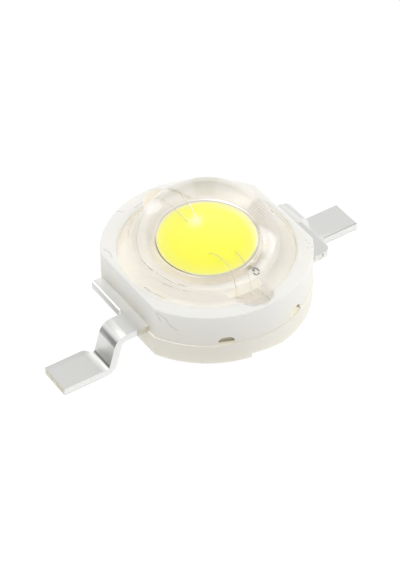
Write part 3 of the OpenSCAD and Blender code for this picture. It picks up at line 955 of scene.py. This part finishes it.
clearSize = {
    "dome": 2.9, "domeCentre": 2.25, "flange": 3.3, "flangeTop": 2.6, "flangeEdge": 0.03, "sunk": 0.02,
    "gelTop": 2.57, "fillNotch": 0.22, "fillNotchAngle": 8,
}


def makeClearBody():
    # sunk a little into the well's floor and the pockets' walls, so that no gap shows
    c, h = clearSize, housingSize
    sunk, edge = c["sunk"], c["flangeEdge"]
    floor = h["floor"] - sunk
    start = math.degrees(math.asin((c["flangeTop"] - c["domeCentre"]) / c["dome"]))
    body = lathe("lens_dome", arc(0, c["domeCentre"], c["dome"], 90, start, 72)
                 + arc(c["flange"] - edge, c["flangeTop"] - edge, edge, 90, 0, 4)
                 + [(c["flange"], floor), (0, floor)], 256)
    for side in (0, 180):
        cutter = addCylinder("fillCutter", c["fillNotch"], c["gelTop"], c["flangeTop"] + 1,
                             y=-c["flange"], sides=48)
        carve(body, turned(cutter, side + c["fillNotchAngle"]))
        gel = slotShape("pocketGel", h["pocketHalf"] + sunk, h["pocketIn"] - sunk, h["pocketOut"] + sunk,
                        h["padTop"] - sunk, c["gelTop"])
        join(body, turned(gel, side))
    return body


lens = makeClearBody()
finishPiece(lens, [clear], ["lens", "silicone_gel"], 30, evenFlats=False)
print("lens done")


# Leads

leadSize = {
    "thick": 0.3, "height": 1.3, "bend": 4.45, "bendAngle": 74, "upperRadius": 0.24, "lowerRadius": 0.14,
    "inner": 0.35, "outer": 1.41, "footInner": 0.05, "footCorner": 0.29, "tip": 7.15,
    "wingSeat": 3.3, "wingFree": 1.75, "wingCut": 0.04, "reliefWidth": 0.18, "reliefDepth": 0.13,
    "armIn": 1.8, "armOut": 3.25, "armSweep": 117, "edge": 0.03, "wingEdge": 0.06, "near": 0.001,
    "bendSteps": 14,
    # reach of the wing, rounding of its corner, turn
    "anode_lead": (0.45, 0.06, 180), "cathode_lead": (0.95, 0.3, 0),
}


def leadOutline(far, corner):
    # seen from above: wing, relief, neck, then the arm round the slug and back to the wing
    w = leadSize
    reliefEnd, relief = w["inner"] - w["reliefWidth"], far - w["reliefDepth"]
    ledge, cut = min(far, w["bend"] - 0.002), w["outer"] + w["wingCut"]
    enter = math.degrees(math.asin(w["outer"] / w["armOut"]))
    leave = math.degrees(math.asin(w["inner"] / w["armOut"]))
    return ([(w["wingSeat"], -w["wingFree"])]
            + arc(far - corner, corner - w["wingFree"], corner, -90, 0, 10)
            + [(far, reliefEnd), (relief, reliefEnd), (relief, w["inner"]), (w["bend"], w["inner"]),
               (w["bend"], w["outer"]), (ledge, w["outer"]), (ledge, cut), (w["wingSeat"], cut),
               (w["wingSeat"], w["outer"])]
            + arc(0, 0, w["armOut"], enter, w["armSweep"], 48) + arc(0, 0, w["armIn"], w["armSweep"], 0, 48)
            + arc(0, 0, w["armOut"], 0, leave, 4) + [(w["wingSeat"], w["inner"])])


def spinSelected(degrees, x, z):
    # positive angles bend the strip's end down
    bpy.ops.mesh.spin(steps=leadSize["bendSteps"], angle=math.radians(-degrees), center=(x, 0, z),
                      axis=(0, 1, 0))


def extrudeBy(x, y, z):
    bpy.ops.mesh.extrude_region_move(TRANSFORM_OT_translate={"value": (x, y, z)})


def makeLead(name, reach, corner, turn):
    # the flat strip, then both bends at its neck, then the foot with its wider inner side
    w = leadSize
    low, high, near = w["height"], w["height"] + w["thick"], w["near"]
    slope = math.radians(w["bendAngle"])
    stack = w["upperRadius"] + w["thick"] + w["lowerRadius"]
    slopeLength = (low - stack + stack * math.cos(slope)) / math.sin(slope)
    footStart = w["bend"] + stack * math.sin(slope) + slopeLength * math.cos(slope)
    far = housingSize["flat"] + reach
    body = plate(name, leadOutline(far, corner), low, high)
    editSelect(body, "FACE", lambda f: f.normal.x > 0.9 and f.calc_center_median().x > w["bend"] - near
               and f.calc_center_median().y > w["inner"])
    spinSelected(w["bendAngle"], w["bend"], low - w["upperRadius"])
    extrudeBy(slopeLength * math.cos(slope), 0, -slopeLength * math.sin(slope))
    spinSelected(-w["bendAngle"], footStart, w["thick"] + w["lowerRadius"])
    extrudeBy(w["tip"] - footStart, 0, 0)
    leaveEdit()
    editSelect(body, "FACE", lambda f: f.normal.y < -0.9 and f.calc_center_median().x > footStart + 0.1)
    extrudeBy(0, w["footInner"] - w["inner"], 0)
    bpy.ops.mesh.select_all(action="SELECT")
    bpy.ops.mesh.remove_doubles(threshold=0.0002)
    bpy.ops.mesh.normals_make_consistent(inside=False)
    leaveEdit()

    def atFootCorner(c):
        return abs(c.x - footStart) < near and c.y < w["footInner"] + near

    def atWingTop(c):
        return c.x > far - near and c.z > high - near and c.y < w["inner"]

    bevelEdges(body, lambda e: both(e, atFootCorner), w["footCorner"], 10)
    bevelEdges(body, lambda e: both(e, atWingTop), w["wingEdge"], 4)
    soften(body, w["edge"], 3)
    return turned(body, turn)


def dressLead(lead, turn):
    # bare copper on the cut ends; on the narrow sides, metal painted pale, with painted light and a painted
    # shadow along the feet's bottom
    w = leadSize
    flat, widest = housingSize["flat"] + 0.01, housingSize["flat"] + 1.05
    for polygon in lead.data.polygons:
        away = abs(polygon.center.x) * 1000
        along = polygon.center.y * (-1000 if turn else 1000)
        wingEnd = away < widest and (along < 0.05 - w["wingFree"] or along > w["outer"] + w["wingCut"] / 2)
        footEnd = away > w["tip"] - 0.02
        if (footEnd and abs(polygon.normal.x) > 0.9) or (wingEnd and abs(polygon.normal.y) > 0.9):
            polygon.material_index = 1
        elif away > flat and abs(polygon.normal.y) > 0.8:
            polygon.material_index = 2


for name in ("anode_lead", "cathode_lead"):
    reach, corner, turn = leadSize[name]
    lead = makeLead(name.replace("lead", "strip"), reach, corner, turn)
    finishPiece(lead, [strip, cutCopper, stripSide], [name])
    dressLead(lead, turn)
print("leads done")


# Wires, chip and its glue keep their solids

solidLooks = {f"bond_wire_{i}": gold for i in (1, 2, 3, 4)}
solidLooks.update({"led_die": makeDie(), "die_attach": makeAttach()})
for name, material in solidLooks.items():
    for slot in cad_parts[name].material_slots:
        slot.material = material


# Floor, light and camera

studio = {
    "level": 0.23, "lean": 0.84, "towards": (0.22, 0.32, 0.92), "least": 0.06,
    "floorGlow": 0.93, "floorTone": 0.12,
    "top": {"azimuth": -44, "elevation": 75, "sizes": (0.07, 0.11, 0.16, 0.22), "radiance": 2.1},
    "right": {"azimuth": 115, "elevation": 9, "sizes": (0.16, 0.24, 0.32), "radiance": 1.5},
    "distance": 0.5, "step": 0.002,
}


def makeFloor():
    deselectAll()
    bpy.ops.mesh.primitive_plane_add(size=1.2, location=(0, 0, 0))
    floor = namedActive("floor")
    s = Shader("paleFloor")
    tone = studio["floorTone"]
    color = s.mix(s.noise(s.place(), 0.05), (tone, tone, tone, 1), (tone * 1.1, tone * 1.1, tone * 1.1, 1))
    material = s.finish(s.principled(color=color, roughness=0.9, specular=0.0, emission=(1, 1, 1, 1),
                                     emissionStrength=studio["floorGlow"]))
    floor.data.materials.append(material)


def makeWorld():
    # even light that is a little stronger from above, behind and the right
    s = Shader("studio", "worlds")
    side = Vector(studio["towards"]).normalized()
    share = s.vector("DOT_PRODUCT", s.node("TexCoord"), side, output=1)
    strength = (share * studio["lean"] + studio["level"]).math("MAXIMUM", studio["least"])
    background = s.node("Background", sockets={"Color": (1, 1, 1, 1), "Strength": strength})
    bpy.context.scene.world = s.finish(background, "ShaderNodeOutputWorld")


def addSoftLight(name):
    # round sheets of light one behind the other, so that the spot fades outwards
    box = studio[name]
    a, e = math.radians(box["azimuth"]), math.radians(box["elevation"])
    toward = Vector((math.sin(a) * math.cos(e), math.cos(a) * math.cos(e), math.sin(e)))
    for i, size in enumerate(box["sizes"]):
        deselectAll()
        bpy.ops.object.light_add(type="AREA", location=toward * (studio["distance"] + studio["step"] * i))
        light = bpy.context.active_object
        light.name = f"{name}_{i}"
        light.data.shape = "DISK"
        light.data.size = size
        light.data.energy = box["radiance"] * math.pi * math.pi * size * size / 4
        light.rotation_euler = toward.to_track_quat("Z", "Y").to_euler()


cameraPose = {
    "azimuth": -33.86, "elevation": 42.38, "distance": 0.080, "focal": 2155.2,
    "target": (0, 0, 0.0027), "pixel": (206.8, 245.36), "middle": (200, 285), "frame": 570, "sensor": 36,
}


def makeCamera():
    c = cameraPose
    a, e = math.radians(c["azimuth"]), math.radians(c["elevation"])
    back = Vector((math.sin(a) * math.cos(e), -math.cos(a) * math.cos(e), math.sin(e)))
    right = Vector((math.cos(a), math.sin(a), 0))
    up = back.cross(right)
    perPixel = c["distance"] / c["focal"]
    place = (Vector(c["target"]) + back * c["distance"] + right * (c["middle"][0] - c["pixel"][0]) * perPixel
             - up * (c["middle"][1] - c["pixel"][1]) * perPixel)
    bpy.ops.object.camera_add(location=place)
    camera = bpy.context.active_object
    camera.rotation_euler = back.to_track_quat("Z", "Y").to_euler()
    camera.data.sensor_width = c["sensor"]
    camera.data.lens = c["focal"] / c["frame"] * c["sensor"]
    camera.data.clip_start = 0.001
    camera.data.clip_end = 10
    bpy.context.scene.camera = camera


makeFloor()
makeWorld()
addSoftLight("top")
addSoftLight("right")
deselectAll()
makeCamera()
bpy.context.scene.view_settings.view_transform = "Standard"
print("studio done")
